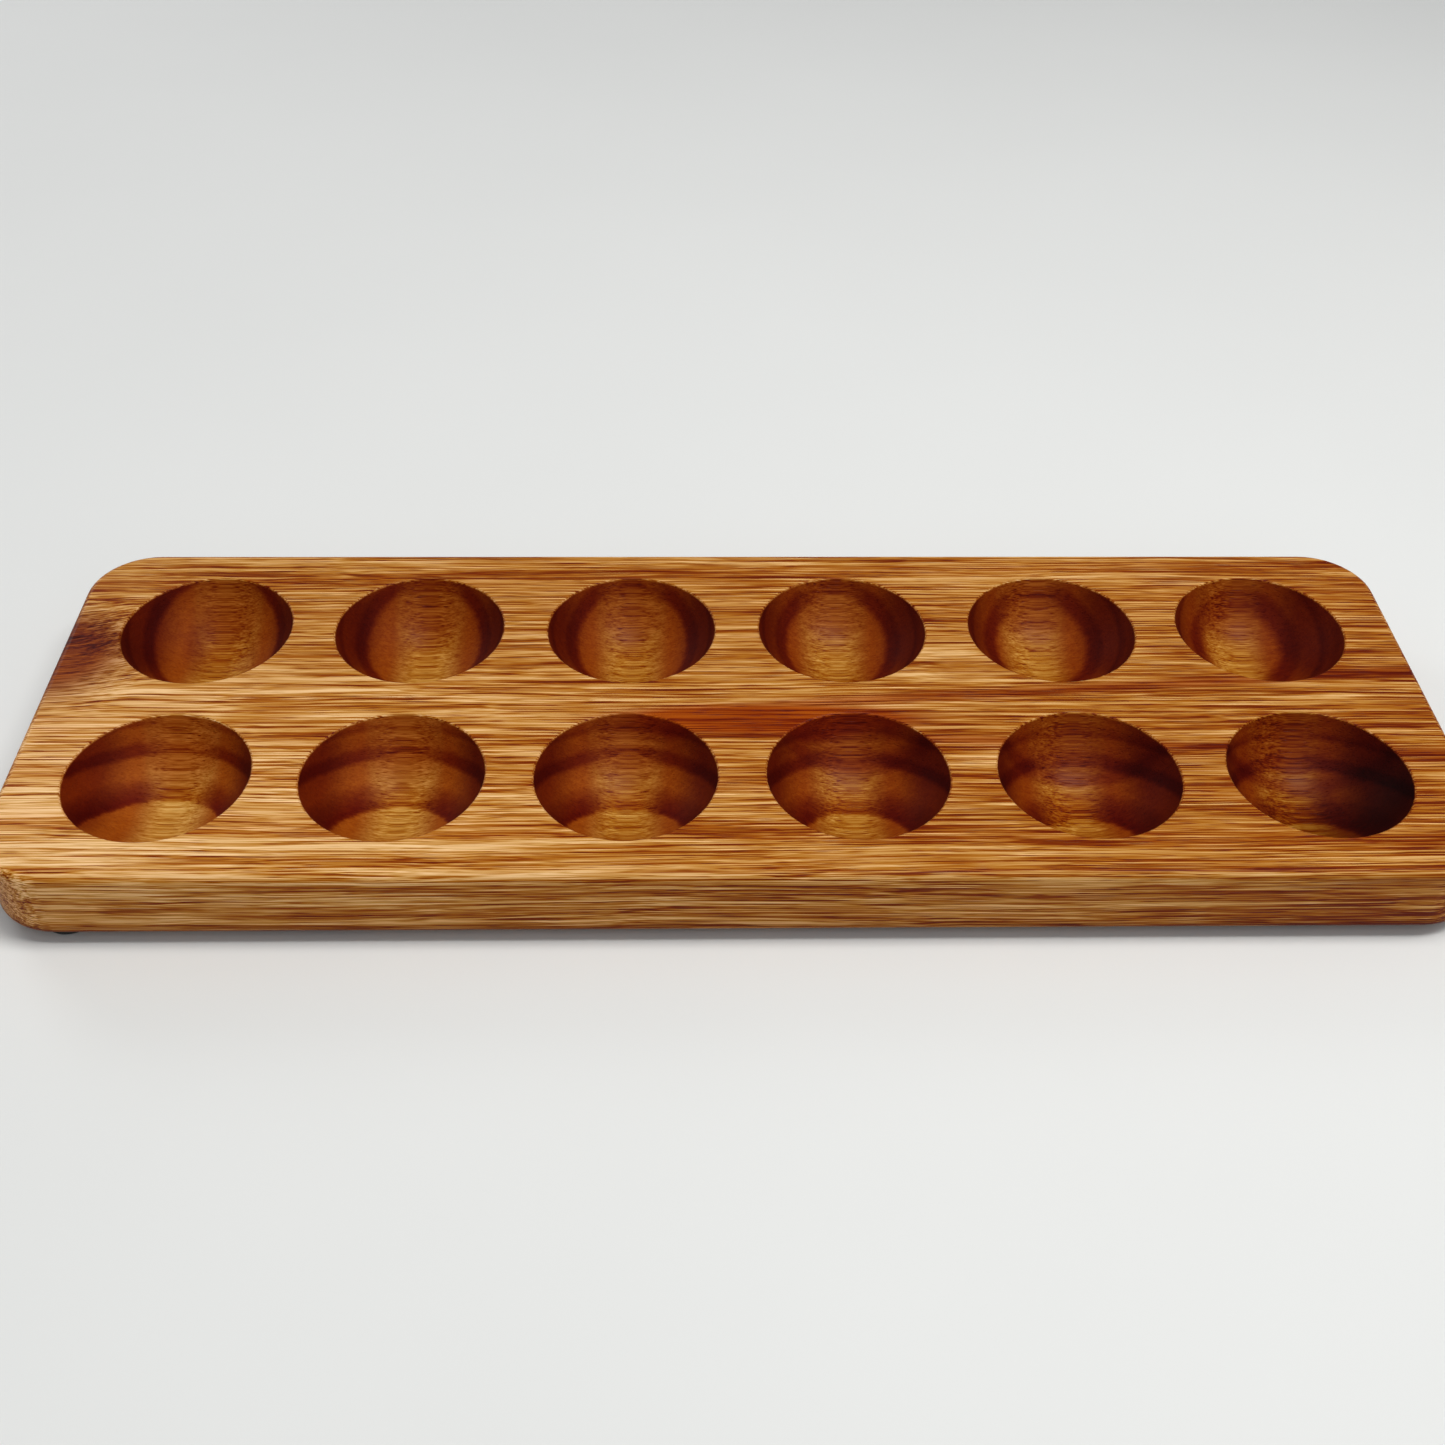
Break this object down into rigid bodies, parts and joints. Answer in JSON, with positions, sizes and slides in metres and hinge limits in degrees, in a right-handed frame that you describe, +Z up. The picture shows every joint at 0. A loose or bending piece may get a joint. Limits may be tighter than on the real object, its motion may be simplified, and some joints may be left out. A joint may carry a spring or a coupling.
{
  "type": "egg holder tray",
  "caption": "Long wooden board with rows of round hollows that hold eggs upright, standing on low black rubber feet.",
  "frame": {"origin": "middle of the bounding box's bottom face, on the surface that the feet stand on", "axes": "+Z up; +X along the board's length; -Y is the front long side"},
  "size_m": [0.3556, 0.125, 0.022],
  "materials": {
    "oiled_wood": "oiled, satin, with open pores",
    "black_rubber": "matt moulded",
    "screw_steel": "bright zinc"
  },
  "bodies": {
    "root": {"tray_board": "oiled_wood", "foot_front_left": "black_rubber", "foot_front_right": "black_rubber", "foot_back_left": "black_rubber", "foot_back_right": "black_rubber", "foot_screw_front_left": "screw_steel", "foot_screw_front_right": "screw_steel", "foot_screw_back_left": "screw_steel", "foot_screw_back_right": "screw_steel"}
  },
  "joints": []
}
